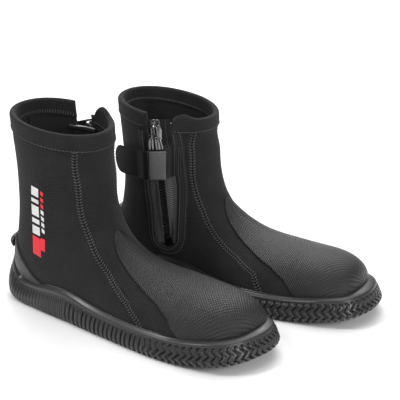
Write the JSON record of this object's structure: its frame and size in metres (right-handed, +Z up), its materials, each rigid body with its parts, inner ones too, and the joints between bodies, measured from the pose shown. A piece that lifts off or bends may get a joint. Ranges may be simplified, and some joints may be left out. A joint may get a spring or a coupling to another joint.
{
  "type": "neoprene boots",
  "caption": "Pair of ankle-high neoprene water boots with moulded rubber soles, rubber toe and heel overlays, an instep-side zip and a closing strap.",
  "frame": {"origin": "middle of the pair's bounding box, on the ground under the soles", "axes": "+X from the heels towards the toes, +Y from the right boot towards the left boot, +Z up"},
  "size_m": [0.3376, 0.2532, 0.1994],
  "materials": {
    "neoprene": "matte knitted jersey",
    "printed_rubber": "semi-gloss, fine diamond print",
    "outsole_rubber": "satin moulded",
    "foam": "matte",
    "board": "matte",
    "webbing": "woven",
    "hook_loop": "matte pile",
    "zip_plastic": "satin",
    "slider_metal": "black satin",
    "print": "matte"
  },
  "bodies": {
    "right_boot": {"right_collar_band": "neoprene", "right_front_panel": "neoprene", "right_gusset_binding": "webbing", "right_heel_counter": "printed_rubber", "right_heel_ledge": "printed_rubber", "right_inner_front_quarter": "neoprene", "right_inner_rear_quarter": "neoprene", "right_insole": "foam", "right_lasting_board": "board", "right_loop_patch": "hook_loop", "right_midsole": "foam", "right_outer_quarter": "neoprene", "right_outsole": "outsole_rubber", "right_side_print": "print", "right_sole_panel": "neoprene", "right_strap_anchor": "webbing", "right_toe_vamp": "printed_rubber", "right_zip_bottom_stop": "zip_plastic", "right_zip_gusset": "neoprene", "right_zip_surround": "neoprene", "right_zip_tape_front": "webbing", "right_zip_tape_rear": "webbing", "right_zip_teeth_front": "zip_plastic", "right_zip_teeth_rear": "zip_plastic", "right_zip_top_stop": "zip_plastic"},
    "right_slider": {"right_zip_slider": "slider_metal"},
    "right_puller": {"right_zip_puller": "slider_metal"},
    "right_strap": {"right_strap": "webbing", "right_strap_hook_pad": "hook_loop"},
    "left_boot": {"left_collar_band": "neoprene", "left_front_panel": "neoprene", "left_gusset_binding": "webbing", "left_heel_counter": "printed_rubber", "left_heel_ledge": "printed_rubber", "left_inner_front_quarter": "neoprene", "left_inner_rear_quarter": "neoprene", "left_insole": "foam", "left_lasting_board": "board", "left_loop_patch": "hook_loop", "left_midsole": "foam", "left_outer_quarter": "neoprene", "left_outsole": "outsole_rubber", "left_side_print": "print", "left_sole_panel": "neoprene", "left_strap_anchor": "webbing", "left_toe_vamp": "printed_rubber", "left_zip_bottom_stop": "zip_plastic", "left_zip_gusset": "neoprene", "left_zip_surround": "neoprene", "left_zip_tape_front": "webbing", "left_zip_tape_rear": "webbing", "left_zip_teeth_front": "zip_plastic", "left_zip_teeth_rear": "zip_plastic", "left_zip_top_stop": "zip_plastic"},
    "left_slider": {"left_zip_slider": "slider_metal"},
    "left_puller": {"left_zip_puller": "slider_metal"},
    "left_strap": {"left_strap": "webbing", "left_strap_hook_pad": "hook_loop"}
  },
  "joints": [
    {"name": "left_boot_lift", "type": "slide", "parent": "right_boot", "child": "left_boot", "axis": [0, 0, 1], "range_m": [0, 0.3]},
    {"name": "right_zip_slide", "type": "slide", "parent": "right_boot", "child": "right_slider", "axis": [0.2701, -0.0365, -0.9621], "range_m": [0, 0.096]},
    {"name": "right_puller_hinge", "type": "hinge", "parent": "right_slider", "child": "right_puller", "pos_m": [-0.10751, -0.02546, 0.17051], "axis": [0.9628, 0.0222, 0.2694], "range_deg": [0, 150]},
    {"name": "right_strap_hinge", "type": "hinge", "parent": "right_boot", "child": "right_strap", "pos_m": [-0.08446, -0.0284, 0.13131], "axis": [-0.001, -0.0327, -0.9995], "range_deg": [0, 38]},
    {"name": "left_zip_slide", "type": "slide", "parent": "left_boot", "child": "left_slider", "axis": [0.0816, 0.0465, -0.9956], "range_m": [0, 0.096]},
    {"name": "left_puller_hinge", "type": "hinge", "parent": "left_slider", "child": "left_puller", "pos_m": [-0.05362, 0.00573, 0.17084], "axis": [-0.9525, -0.2904, -0.0917], "range_deg": [0, 150]},
    {"name": "left_strap_hinge", "type": "hinge", "parent": "left_boot", "child": "left_strap", "pos_m": [-0.03945, 0.01553, 0.13147], "axis": [0.0103, -0.0883, 0.996], "range_deg": [0, 20]}
  ]
}
